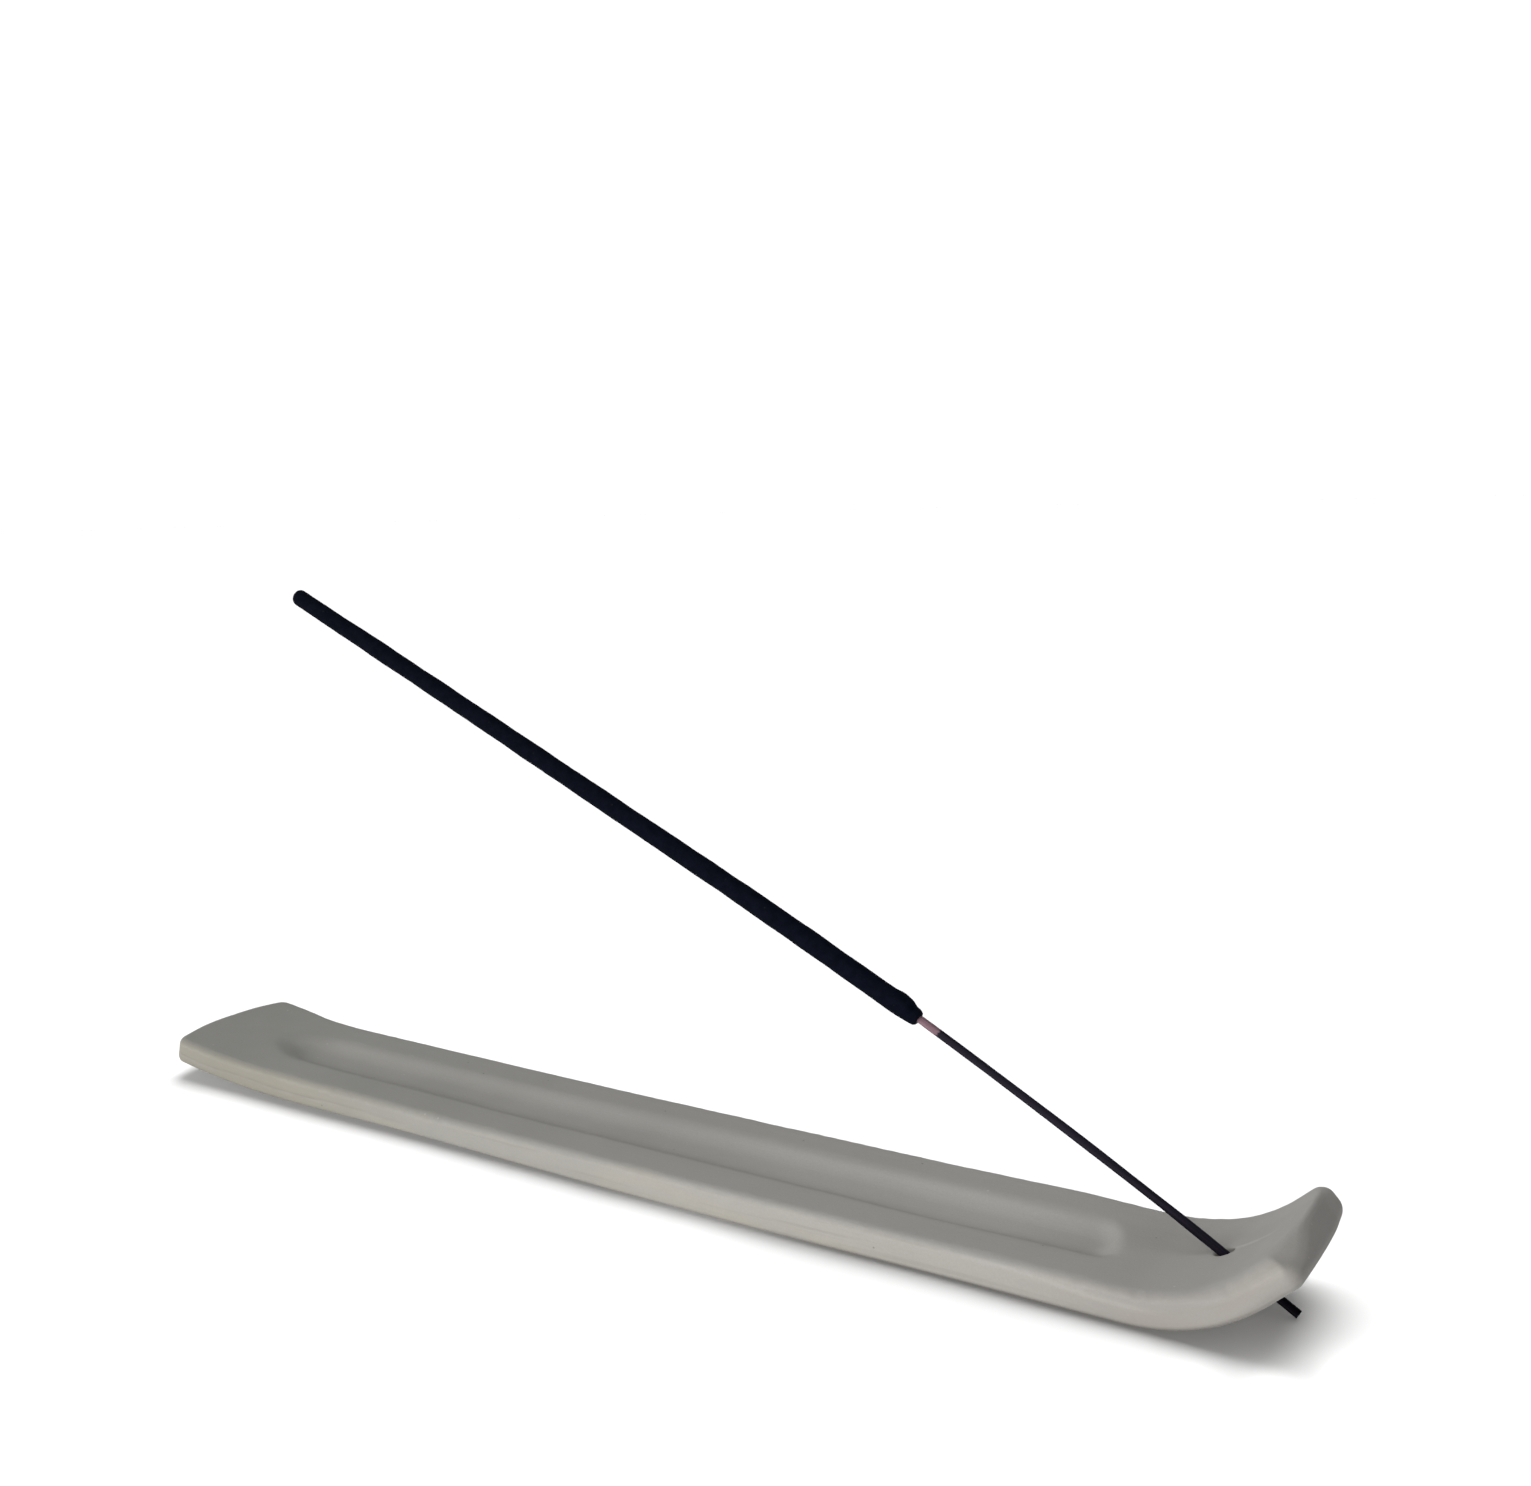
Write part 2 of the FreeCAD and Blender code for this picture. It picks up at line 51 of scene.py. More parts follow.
forward = np.array([
    math.sin(YAW) * math.cos(PITCH), math.cos(YAW) * math.cos(PITCH), -math.sin(PITCH)
])
level = np.array([math.cos(YAW), -math.sin(YAW), 0.0])
down = np.cross(forward, level)
right = math.cos(ROLL) * level + math.sin(ROLL) * down
low = -math.sin(ROLL) * level + math.cos(ROLL) * down

cam_data = bpy.data.cameras.new("camera")
cam_data.sensor_fit = "AUTO"
cam_data.sensor_width = 36.0
cam_data.lens = FOCAL / FRAME_W * 36.0
cam_data.clip_start, cam_data.clip_end = 0.01, 60.0
cam = bpy.data.objects.new("camera", cam_data)
bpy.context.scene.collection.objects.link(cam)
pose = Matrix.Identity(4)
for row in range(3):
    pose[row][0], pose[row][1], pose[row][2] = right[row], -low[row], -forward[row]
    pose[row][3] = EYE[row] * MM
cam.matrix_world = pose
bpy.context.scene.camera = cam


# ------------------------------------------------------------------ helpers
class Waves:
    """Smooth seeded noise with unit spread: a sum of plane waves."""

    def __init__(self, seed, length, count, dims):
        rng = np.random.RandomState(seed)
        k = rng.randn(count, dims)
        k /= np.linalg.norm(k, axis=1)[:, None]
        self.k = k * (2 * np.pi / (length * rng.uniform(0.75, 1.5, count)))[:, None]
        self.phase = rng.uniform(0, 2 * np.pi, count)
        self.gain = math.sqrt(2.0 / count)

    def __call__(self, *coords):
        out = 0.0
        for k, phase in zip(self.k, self.phase):
            turn = phase
            for a, c in zip(k, coords):
                turn = turn + a * c
            out = out + np.cos(turn)
        return out * self.gain


def ramp(lo, hi, x):
    t = np.clip((x - lo) / (hi - lo), 0.0, 1.0)
    return t * t * (3 - 2 * t)


def rounded_max(a, b, r):
    """Intersection of two solids' distances with a rounding of radius r."""
    u, v = np.maximum(a + r, 0.0), np.maximum(b + r, 0.0)
    return np.minimum(np.maximum(a, b), -r) + np.hypot(u, v)


def curve(x, knots, values):
    """Cubic through the knots with slopes from their neighbours."""
    grad = np.gradient(values, knots)
    i = np.clip(np.searchsorted(knots, x) - 1, 0, len(knots) - 2)
    h = knots[i + 1] - knots[i]
    t = np.clip((x - knots[i]) / h, 0.0, 1.0)
    return (
        (2 * t**3 - 3 * t**2 + 1) * values[i] + (t**3 - 2 * t**2 + t) * h * grad[i]
        + (3 * t**2 - 2 * t**3) * values[i + 1] + (t**3 - t**2) * h * grad[i + 1]
    )


def mesh_object(name, points_mm, faces, attributes=()):
    """A smooth-shaded mesh object from an array of points and lists of quads."""
    mesh = bpy.data.meshes.new(name)
    sizes = [len(f) for f in faces] if isinstance(faces, list) else None
    if sizes is None:
        loops = np.asarray(faces, np.int32).ravel()
        starts = np.arange(len(faces), dtype=np.int32) * faces.shape[1]
    else:
        loops = np.concatenate([np.asarray(f, np.int32) for f in faces])
        starts = np.concatenate([[0], np.cumsum(sizes)[:-1]]).astype(np.int32)
    mesh.vertices.add(len(points_mm))
    mesh.vertices.foreach_set("co", (np.asarray(points_mm) * MM).astype(np.float32).ravel())
    mesh.loops.add(len(loops))
    mesh.loops.foreach_set("vertex_index", loops)
    mesh.polygons.add(len(starts))
    mesh.polygons.foreach_set("loop_start", starts)
    mesh.polygons.foreach_set("use_smooth", np.ones(len(starts), bool))
    for key, kind, values in attributes:
        layer = mesh.attributes.new(key, kind, "POINT")
        field_name = "vector" if kind == "FLOAT_VECTOR" else "value"
        layer.data.foreach_set(field_name, np.asarray(values, np.float32).ravel())
    mesh.update(calc_edges=True)
    mesh.validate()
    obj = bpy.data.objects.new(name, mesh)
    bpy.context.scene.collection.objects.link(obj)
    return obj


# ------------------------------------------------------------------ tray
# The tray is described flat, as s along its underside, y across and n up through
# its thickness, and then laid along the underside's line: curl on the right, slow
# rise and flare on the left.
HALF, THICK = 15.01, 5.7
CURL_START, CURL_RADIUS, CURL_ANGLE, LIP = 96.42, 32.38, math.radians(41.94), 6.41
RISE_START, RISE_RADIUS = -3.44, 4500.0
FLARE_START, FLARE_RADIUS = -90.66, 234.8
FAR_END, FAR_BOW, FAR_CORNER = 122.95, 3.0, 2.3
TIP_BOW, TIP_LOW_EDGE, FAR_LOW_EDGE, LOW_EDGE = 0.95, 2.2, 1.7, 1.0
TROUGH_RIGHT, TROUGH_LEFT = 90.4, -101.0
TROUGH_HALF, TROUGH_DEPTH, TROUGH_RIM = 6.3, 2.15, 1.0
CAP_RIGHT, CAP_LEFT = 4.8, 12.0
HOLE_X, HOLE_Z, HOLE_TILT, HOLE_R, HOLE_RIM = 109.85, 6.05, math.radians(35.0), 1.42, 0.3
TIP_END = CURL_START + CURL_RADIUS * CURL_ANGLE + LIP + 0.75
# the hand-worked edges: how far the back and the front wander outwards and the
# trough wanders back and widens, and the radius of the front's upper edge
BACK_AT = np.array([-130.0, -122.0, -116.0, -111.0, -104.0, -97.0, -88.0, -75.0, -63.0, -49.0, -36.0, -23.0, -10.0, 2.0, 20.0, 46.0, 56.0, 63.0, 70.0, 76.5, 80.0, 84.0, 88.0, 92.5, 98.0, 103.0, 108.0, 113.0, 120.0, 130.0])
BACK_OUT = np.array([0.85, 0.98, 1.18, 0.95, 0.24, 0.04, 0.12, 0.36, 0.50, 0.58, 0.57, 0.36, 0.12, 0.02, 0.0, -0.02, 0.0, 0.14, 0.31, 0.45, 0.48, 0.17, -0.08, -0.2, 0.10, 0.34, 0.20, 0.16, 0.03, 0.0])
FRONT_AT = np.array([-130.0, -105.0, -80.0, -50.0, -20.0, 8.0, 40.0, 68.0, 88.0, 104.0, 114.0, 121.0, 130.0])
FRONT_EDGE = np.array([1.55, 1.55, 1.45, 1.72, 1.55, 1.35, 1.35, 1.58, 1.38, 1.55, 2.30, 3.10, 3.20])
FRONT_OUT = np.array([0.0, 0.0, 0.0, 0.0, 0.10, 0.36, 0.38, 0.06, 0.04, 0.0, 0.0, 0.0, 0.0])
TROUGH_MID = np.array([0.0, 0.0, 0.05, 0.42, 0.15, 0.03, -0.02, -0.05, 0.0, 0.0, 0.0, 0.0, 0.0])
TROUGH_OUT = np.array([0.0, 0.0, 0.0, 0.0, 0.05, 0.28, 0.30, 0.10, 0.0, 0.0, 0.0, 0.0, 0.0])
# how far the front's lower edge stands off the table
LIFT_AT = np.array([-130.0, -82.0, -65.0, -50.0, -35.0, -20.0, 0.0, 15.0, 130.0])
LIFT = np.array([0.0, 0.0, 0.25, 0.42, 0.33, 0.20, 0.05, 0.0, 0.0])
SEAM = 2.5

wave_long = Waves(1, 60.0, 14, 3)
wave_mid = Waves(2, 18.0, 18, 3)
wave_edge = Waves(4, 15.0, 12, 1)
wave_edge_fine = Waves(5, 3.4, 16, 1)
wave_trough = Waves(6, 22.0, 14, 3)
wave_seam = Waves(7, 26.0, 8, 1)


def underside(s):
    """x, z and slope of the underside at s."""
    a = np.clip((s - CURL_START) / CURL_RADIUS, 0.0, CURL_ANGLE)
    lip = np.maximum(s - CURL_START - CURL_RADIUS * CURL_ANGLE, 0.0)
    x = np.minimum(s, CURL_START) + CURL_RADIUS * np.sin(a) + lip * np.cos(a)
    z = CURL_RADIUS * (1 - np.cos(a)) + lip * np.sin(a)
    d = np.maximum(RISE_START - s, 0.0)
    e = np.maximum(FLARE_START - s, 0.0)
    z = z + RISE_RADIUS - np.sqrt(RISE_RADIUS**2 - d * d)
    z = z + FLARE_RADIUS - np.sqrt(FLARE_RADIUS**2 - e * e)
    return x, z, a - d / RISE_RADIUS - np.arcsin(e / FLARE_RADIUS)


def lay(s, n):
    """Where the flat point (s, n) goes on the real tray."""
    x, z, slope = underside(s)
    return x - n * np.sin(slope), z + n * np.cos(slope)


def trough_reach(s, y):
    """0 on the trough's middle line, 1 at its brink."""
    past = np.maximum(s + 0.28 * y - TROUGH_RIGHT + CAP_RIGHT, 0.0) / CAP_RIGHT
    past = past + np.minimum(s - TROUGH_LEFT - CAP_LEFT, 0.0) / CAP_LEFT
    across = np.abs(y - curve(s, FRONT_AT, TROUGH_MID)) / (TROUGH_HALF + curve(s, FRONT_AT, TROUGH_OUT))
    power = np.where(s > 0, 2.8, 1.75)
    return (np.abs(past) ** power + across**power) ** (1 / power)


def seam_line(s, y, n):
    """1 on the faint mould line along the near side of the far end."""
    level = SEAM + 0.16 * wave_seam(s)
    return np.exp(-(((n - level) / 0.26) ** 2)) * ramp(-42.0, -78.0, s) * ramp(-14.0, -15.0, y)


def crease_line(s, y, n):
    """1 on the faint ridge that runs up the curl from the hole."""
    level = 0.15 + 0.35 * np.sin((s - 108.0) / 4.6)
    along = ramp(111.0, 112.5, s) * ramp(122.5, 117.0, s)
    return np.exp(-(((y - level) / 0.34) ** 2)) * along * ramp(THICK - 2.0, THICK - 1.0, n)


def fold_line(s, y, n):
    """1 on the low fold that slants down the near side before the curl."""
    level = np.interp(s, [66.0, 80.0, 92.0, 106.0], [4.9, 4.4, 3.5, 3.0]) + 0.15 * wave_seam(s + 90.0)
    along = ramp(66.0, 74.0, s) * ramp(106.0, 96.0, s)
    return np.exp(-(((n - level) / 0.42) ** 2)) * along * ramp(-13.4, -14.4, y)


def tray_field(s, y, n, rough):
    """Signed distance to the tray's surface, negative inside."""
    side = np.maximum(-y - HALF - curve(s, FRONT_AT, FRONT_OUT), y - HALF - curve(s, BACK_AT, BACK_OUT))
    bow = (HALF**2 + FAR_BOW**2) / (2 * FAR_BOW)
    far = -s - (FAR_END - bow + np.sqrt(np.maximum(bow * bow - y * y, 1.0)))
    far = far + 0.09 * (n - THICK / 2) - 0.09 * np.maximum(y - 2.0, 0.0)
    tip = s - TIP_END + TIP_BOW * (y / HALF) ** 2 + 0.04 * y
    plan = rounded_max(rounded_max(side, far, FAR_CORNER), tip, 2.2)
    top_edge = curve(s, FRONT_AT, FRONT_EDGE)
    top_edge = top_edge + (1.65 - 0.45 * ramp(100.0, 120.0, s) - top_edge) * ramp(-6.0, 6.0, y)
    tip_edge = 0.75 + 1.2 * ramp(7.0, 13.0, y)
    top_edge = top_edge + (tip_edge - top_edge) * ramp(-2.0, 0.4, tip - side)
    if rough:
        lane = s + np.where(y > 0, 400.0, 0.0)
        share = 0.35 + 0.65 * ramp(5.0, -5.0, y)
        top_edge = top_edge + np.minimum(top_edge, 1.5) * (share * ((0.05 + 0.05 * ramp(50.0, 70.0, s)) * wave_edge(lane) + (0.06 - 0.02 * ramp(98.0, 110.0, s)) * wave_edge_fine(lane)))
    low_edge = LOW_EDGE + (TIP_LOW_EDGE - LOW_EDGE) * ramp(TIP_END - 18, TIP_END - 3, s)
    low_edge = low_edge + 0.5 * ramp(TIP_END - 8, TIP_END - 2, s) * ramp(5.0, 13.0, y)
    low_edge = low_edge + (FAR_LOW_EDGE - LOW_EDGE) * ramp(-84.0, -118.0, s)
    d = rounded_max(plan, n - THICK, top_edge)
    # the curl's lip is rubbed down towards its near corner
    rubbed = (tip + n - THICK + 3.1 * ramp(0.0, -13.0, y) - 0.2) / math.sqrt(2)
    d = rounded_max(d, rubbed, 0.7)
    lift = np.maximum(curve(s, LIFT_AT, LIFT), 0.0) * ramp(-9.0, -14.5, y)
    d = rounded_max(d, lift - n, low_edge)
    reach = trough_reach(s, y)
    bend = 2.4 + 0.8 * ramp(-1.0, 3.0, y)
    steep = bend * TROUGH_DEPTH / TROUGH_HALF * np.minimum(reach, 1.2) ** (bend - 1)
    depth = TROUGH_DEPTH * (1 - reach**bend)
    trough = (n - THICK + depth) / np.sqrt(1 + steep * steep)
    if rough:
        trough = trough + 0.05 * wave_trough(s, y, n)
    d = rounded_max(d, trough, TROUGH_RIM)
    if rough:
        uneven = 0.06 * wave_long(s, y, n * 0 + 1) + 0.012 * wave_mid(s, y, n)
        d = d + uneven * ramp(0.0, 1.6, n)
        d = d + 0.10 * seam_line(s, y, n) - 0.14 * crease_line(s, y, n)
        d = d - 0.09 * fold_line(s, y, n)
    near = (s > 97) & (s < 121) & (np.abs(y) < 4)
    if np.any(near):
        x, z = lay(s[near], n[near])
        across = (x - HOLE_X) * math.sin(HOLE_TILT) + (z - HOLE_Z) * math.cos(HOLE_TILT)
        hole = HOLE_R - np.hypot(across, y[near])
        d = np.array(d)
        d[near] = rounded_max(d[near], hole, HOLE_RIM)
    return d


def steps(lo, hi, width):
    out = [lo]
    while out[-1] < hi:
        out.append(out[-1] + width(out[-1]))
    return np.array(out)


def tray_grid():
    def along(s):
        w = 0.62
        if 100 < s < 119:
            w = 0.40
        if 102.5 < s < 116.5:
            w = 0.24
        if s < -FAR_END + 4.5 or s > TIP_END - 4.5:
            w = min(w, 0.36)
        return w

    def across(y):
        return 0.24 if y < 2.2 else 0.36 if y > 11.8 else 0.52

    half = steps(0.0, HALF + 1.9, across)
    return (
        steps(-FAR_END - 1.2, TIP_END + 1.2, along),
        np.r_[-half[:0:-1], half] + 0.013,
        steps(-0.7, THICK + 0.8, lambda n: 0.3 if n < 2.6 or n > 3.2 else 0.45),
    )


def surface_nets(values, axes):
    """A closed quad mesh where the sampled field changes sign."""
    inside = values < 0
    shape = tuple(n - 1 for n in values.shape)
    count = np.zeros(shape, np.int8)
    corners = [(i, j, k) for i in (0, 1) for j in (0, 1) for k in (0, 1)]
    for i, j, k in corners:
        count += inside[i:shape[0] + i, j:shape[1] + j, k:shape[2] + k]
    cells = np.nonzero((count > 0) & (count < 8))
    index = -np.ones(shape, np.int64)
    index[cells] = np.arange(len(cells[0]))
    at = {c: values[tuple(cells[m] + c[m] for m in range(3))] for c in corners}
    total, hits = np.zeros((len(cells[0]), 3)), np.zeros(len(cells[0]))
    for c in corners:
        for m in range(3):
            if c[m]:
                continue
            other = tuple(1 if q == m else c[q] for q in range(3))
            cut = (at[c] < 0) != (at[other] < 0)
            t = np.where(cut, at[c] / np.where(cut, at[c] - at[other], 1.0), 0.0)
            spot = np.tile(np.array(c, float), (len(t), 1))
            spot[:, m] = t
            total += spot * cut[:, None]
            hits += cut
    q = total / hits[:, None]
    points = np.stack(
        [axes[m][cells[m]] * (1 - q[:, m]) + axes[m][cells[m] + 1] * q[:, m] for m in range(3)], 1
    )
    quads = []
    for m in range(3):
        a, b = [r for r in range(3) if r != m]
        lower, upper = [slice(1, -1)] * 3, [slice(1, -1)] * 3
        lower[m], upper[m] = slice(None, -1), slice(1, None)
        cut = list(np.nonzero(inside[tuple(lower)] != inside[tuple(upper)]))
        cut[a], cut[b] = cut[a] + 1, cut[b] + 1
        ring = []
        for da, db in ((-1, -1), (0, -1), (0, 0), (-1, 0)):
            where = list(cut)
            where[a], where[b] = cut[a] + da, cut[b] + db
            ring.append(index[tuple(where)])
        ring = np.stack(ring, 1)
        turn = inside[tuple(cut)] == (m == 1)
        ring[turn] = ring[turn][:, ::-1]
        quads.append(ring)
    return points, np.vstack(quads)


def settle(points, quads, rounds, relax, rough):
    """Evens out the quads and puts every point back on the surface."""
    count = len(points)
    edges = np.vstack([quads[:, [m, (m + 1) % 4]] for m in range(4)])
    degree = np.bincount(edges.ravel(), minlength=count).astype(float)
    h = 0.02
    for _ in range(rounds):
        if relax:
            mean = np.stack(
                [
                    np.bincount(edges[:, 0], points[edges[:, 1], m], count)
                    + np.bincount(edges[:, 1], points[edges[:, 0], m], count)
                    for m in range(3)
                ],
                1,
            )
            points = points + relax * (mean / degree[:, None] - points)
        for _ in range(2):
            value = tray_field(*points.T, rough)
            slope = np.empty_like(points)
            for m in range(3):
                shift = np.zeros(3)
                shift[m] = h
                slope[:, m] = (
                    tray_field(*(points + shift).T, rough) - tray_field(*(points - shift).T, rough)
                ) / (2 * h)
            move = -(value / np.maximum((slope**2).sum(1), 0.05))[:, None] * slope
            reach = np.linalg.norm(move, axis=1)
            points = points + move * np.minimum(1.0, 0.3 / np.maximum(reach, 1e-9))[:, None]
    return points, slope


axes = tray_grid()
mesh_grid = np.meshgrid(*axes, indexing="ij")
sampled = tray_field(*[g.ravel() for g in mesh_grid], False).reshape(mesh_grid[0].shape)
flat, quads = surface_nets(sampled, axes)
flat, _ = settle(flat, quads, 3, 0.5, False)
flat, slope = settle(flat, quads, 1, 0.0, True)
tx, tz = lay(flat[:, 0], flat[:, 2])
tray_points = np.stack([tx, flat[:, 1], tz], 1)
tris = np.vstack([quads[:, [0, 1, 2]], quads[:, [0, 2, 3]]])
volume = np.einsum(
    "ij,ij->i", tray_points[tris[:, 0]], np.cross(tray_points[tris[:, 1]], tray_points[tris[:, 2]])
).sum() / 6
if volume < 0:
    quads = quads[:, ::-1]

unit = slope / np.maximum(np.linalg.norm(slope, axis=1), 1e-9)[:, None]
outer = ramp(-4.0, -1.0, np.maximum(np.abs(flat[:, 1]) - HALF, np.maximum(
    flat[:, 0] - TIP_END, -flat[:, 0] - FAR_END)))
edge = np.exp(-(((unit[:, 2] - 0.24) / 0.17) ** 2)) * outer
in_trough = (trough_reach(flat[:, 0], flat[:, 1]) < 1.2) & (flat[:, 2] > 2.8)
hollow = np.where(in_trough, ramp(0.1, 0.75, THICK - flat[:, 2]), 0.0) * ramp(-6.6, -3.6, flat[:, 1])
wall = np.hypot(unit[:, 0], unit[:, 1]) * ramp(-3.0, -0.5, np.maximum(
    np.abs(flat[:, 1]) - HALF, np.maximum(flat[:, 0] - TIP_END, -flat[:, 0] - FAR_END)))

tray = mesh_object(
    "tray_casting",
    tray_points,
    quads,
    (
        ("flat", "FLOAT_VECTOR", flat),
        ("edge", "FLOAT", np.clip(edge, 0, 1)),
        ("hollow", "FLOAT", hollow),
        ("wall", "FLOAT", np.clip(wall, 0, 1)),
        ("seam", "FLOAT", seam_line(*flat.T)),
        ("ridge", "FLOAT", np.maximum(crease_line(*flat.T), 0.30 * fold_line(*flat.T))),
    ),
)

# ------------------------------------------------------------------ stick
# One line for both pieces: a straight foot, a slight bow, a straight upper part.
FOOT_X, FOOT_Z = 118.49, 0.651
FOOT_SLOPE, TOP_SLOPE = math.radians(30.85), math.radians(25.09)
FOOT_LENGTH, SAG_RADIUS = 17.90, 992.1
BOW_LENGTH = SAG_RADIUS * (FOOT_SLOPE - TOP_SLOPE)
CORE_END = FOOT_LENGTH + BOW_LENGTH + 111.05
PASTE_START, PASTE_END = 72.51, FOOT_LENGTH + BOW_LENGTH + 113.58
PASTE_LOW_R, PASTE_TOP_R = 1.87, 1.65
BAND_START = 68.51


def stick_frame(t):
    """Points on the stick's line at lengths t from its foot, with the slope there."""
    t = np.asarray(t, float)
    p1 = np.array([FOOT_X - FOOT_LENGTH * math.cos(FOOT_SLOPE),
                   FOOT_Z + FOOT_LENGTH * math.sin(FOOT_SLOPE)])
    hub = p1 - SAG_RADIUS * np.array([math.sin(FOOT_SLOPE), math.cos(FOOT_SLOPE)])
    bend = np.clip((t - FOOT_LENGTH) / SAG_RADIUS, 0.0, BOW_LENGTH / SAG_RADIUS)
    slope = FOOT_SLOPE - bend
    straight = np.minimum(t - FOOT_LENGTH, 0.0) + np.maximum(t - FOOT_LENGTH - BOW_LENGTH, 0.0)
    x = hub[0] + SAG_RADIUS * np.sin(slope) - straight * np.cos(slope)
    z = hub[1] + SAG_RADIUS * np.cos(slope) + straight * np.sin(slope)
    return x, z, slope


def tube(lengths, radii, angles, rise):
    """Rings of points round the stick's line; radii is (rings, segments)."""
    x, z, slope = stick_frame(lengths)
    up = radii * np.cos(angles)[None, :] + rise[:, None]
    out = radii * np.sin(angles)[None, :]
    return np.stack(
        [
            x[:, None] + up * np.sin(slope)[:, None],
            out,
            z[:, None] + up * np.cos(slope)[:, None],
        ],
        -1,
    )


def ring_quads(rings, segments):
    i = np.arange(rings - 1)[:, None] * segments
    j = np.arange(segments)[None, :]
    k = (j + 1) % segments
    return np.stack([i + j, i + k, i + segments + k, i + segments + j], -1).reshape(-1, 4)


def closed_tube(name, lengths, radii, attributes, rise=None):
    """A closed mesh from rings that run from one pole to the other."""
    segments = radii.shape[1]
    angles = np.arange(segments) * 2 * np.pi / segments
    rise = np.zeros(len(lengths)) if rise is None else rise
    points = tube(lengths, radii, angles, rise).reshape(-1, 3)
    poles = tube(lengths[[0, -1]], np.zeros((2, 1)), np.zeros(1), rise[[0, -1]])
    faces = [list(q) for q in ring_quads(len(lengths), segments)]
    start, end = len(points), len(points) + 1
    points = np.vstack([points, poles.reshape(-1, 3)])
    last = (len(lengths) - 1) * segments
    for j in range(segments):
        k = (j + 1) % segments
        faces.append([start, k, j])
        faces.append([end, last + j, last + k])
    made = []
    for key, kind, values in attributes:
        values = np.asarray(values, float)
        ends = np.stack([values[0].mean(0), values[-1].mean(0)])
        made.append((key, kind, np.concatenate([values.reshape(-1, *values.shape[2:]), ends])))
    return mesh_object(name, points, faces, made)


# The splint: a thin cut rod, thicker and thinner along its length, with faint
# lengthwise fibres and a square-cut foot.
SEG = 32
theta = np.arange(SEG) * 2 * np.pi / SEG
lengths = np.concatenate([
    [0.0, 0.0, 0.0, 0.05, 0.18], np.arange(0.5, 80.0, 0.5), np.arange(80.0, CORE_END - 0.5, 2.0),
    [CORE_END - 0.3, CORE_END - 0.05, CORE_END, CORE_END],
])
fibre = Waves(11, 1.0, 10, 2)
girth = np.interp(
    lengths,
    [0.0, 3.0, 12.0, 17.0, 20.0, 25.0, 31.0, 38.0, 44.0, 50.0, 58.0, 64.0, 70.0, 73.0, 230.0],
    [0.715, 0.705, 0.720, 0.765, 0.755, 0.690, 0.695, 0.735, 0.730, 0.705, 0.690, 0.705, 0.705, 0.665, 0.660],
)
lean = np.interp(
    lengths, [0.0, 3.0, 10.0, 16.0, 24.0, 28.0, 33.0, 38.0, 44.0, 52.0], [0.04, 0.06, 0.12, 0.155, 0.15, 0.12, 0.09, 0.07, 0.04, 0.0]
)
grain = np.stack([
    fibre(4.5 * np.cos(theta) + 0.012 * t, 4.5 * np.sin(theta)) for t in lengths
])
radii = girth[:, None] + 0.012 * np.cos(4 * theta + 0.6)[None, :] + 0.008 * grain
radii = np.minimum(radii, np.where(lengths > PASTE_START - 0.3, 0.675, 0.79)[:, None])
radii[0] *= 0.35
radii[1] *= 0.8
radii[2] *= 0.95
radii[-1] *= 0.5
around = np.stack([
    np.repeat(lengths[:, None], SEG, 1),
    np.repeat(np.cos(theta)[None, :], len(lengths), 0),
    np.repeat(np.sin(theta)[None, :], len(lengths), 0),
], -1)
core = closed_tube("bamboo_splint", lengths, radii, (("around", "FLOAT_VECTOR", around),), lean)

# The paste: a hand-rolled coat, cut off at the top. Its lower end swells on the
# upper side and then drops to a small collar round the splint; bored for the splint.
SEG = 56
theta = np.arange(SEG) * 2 * np.pi / SEG
knots_u = np.array([
    0.0, 0.05, 0.18, 0.42, 0.9, 1.3, 1.6, 1.95, 2.4, 2.9, 3.4, 3.9, 4.4, 4.9, 5.4, 5.9, 6.4, 8.0, 10.0
])
upper = np.array([
    0.80, 0.97, 1.11, 1.24, 1.38, 1.40, 1.48, 1.66, 1.85, 1.98, 2.06, 2.12, 2.15, 2.12, 2.02, 1.93, 1.89, 1.87, 1.87
])
lower = np.array([
    0.90, 1.08, 1.26, 1.43, 1.54, 1.58, 1.61, 1.65, 1.70, 1.74, 1.78, 1.81, 1.84, 1.85, 1.86, 1.87, 1.87, 1.87, 1.87
])
run = PASTE_END - PASTE_START
TIP_ROUND = 0.9
u = np.concatenate([
    [0.0, 0.05, 0.11, 0.18, 0.29, 0.42, 0.58], np.arange(0.75, 8.0, 0.16), np.arange(8.0, run - 1.1, 0.42),
    run - TIP_ROUND + TIP_ROUND * np.sin(np.linspace(0, np.pi / 2, 10)), [run, run],
])

body = PASTE_LOW_R + (PASTE_TOP_R - PASTE_LOW_R) * u / run
share = (0.5 + 0.5 * np.cos(theta)) ** 1.3
low_up, low_down = curve(u, knots_u, upper), curve(u, knots_u, lower)
keep = low_down[:, None] + (low_up - low_down)[:, None] * share[None, :]
radii = body[:, None] * keep / PASTE_LOW_R
# slow thick and thin places along the roll, above and below
rolls = PASTE_START + u
more_up = np.interp(rolls, [80.0, 100.0, 120.0, 150.0, 180.0, 210.0, 219.0, 231.0], [0.02, 0.0, 0.03, 0.13, 0.15, 0.15, 0.0, 0.0])
more_down = np.interp(rolls, [80.0, 100.0, 119.0, 150.0, 180.0, 210.0, 231.0], [0.02, 0.13, 0.02, -0.01, -0.06, 0.0, 0.03])
radii = radii + more_down[:, None] + (more_up - more_down)[:, None] * share[None, :]
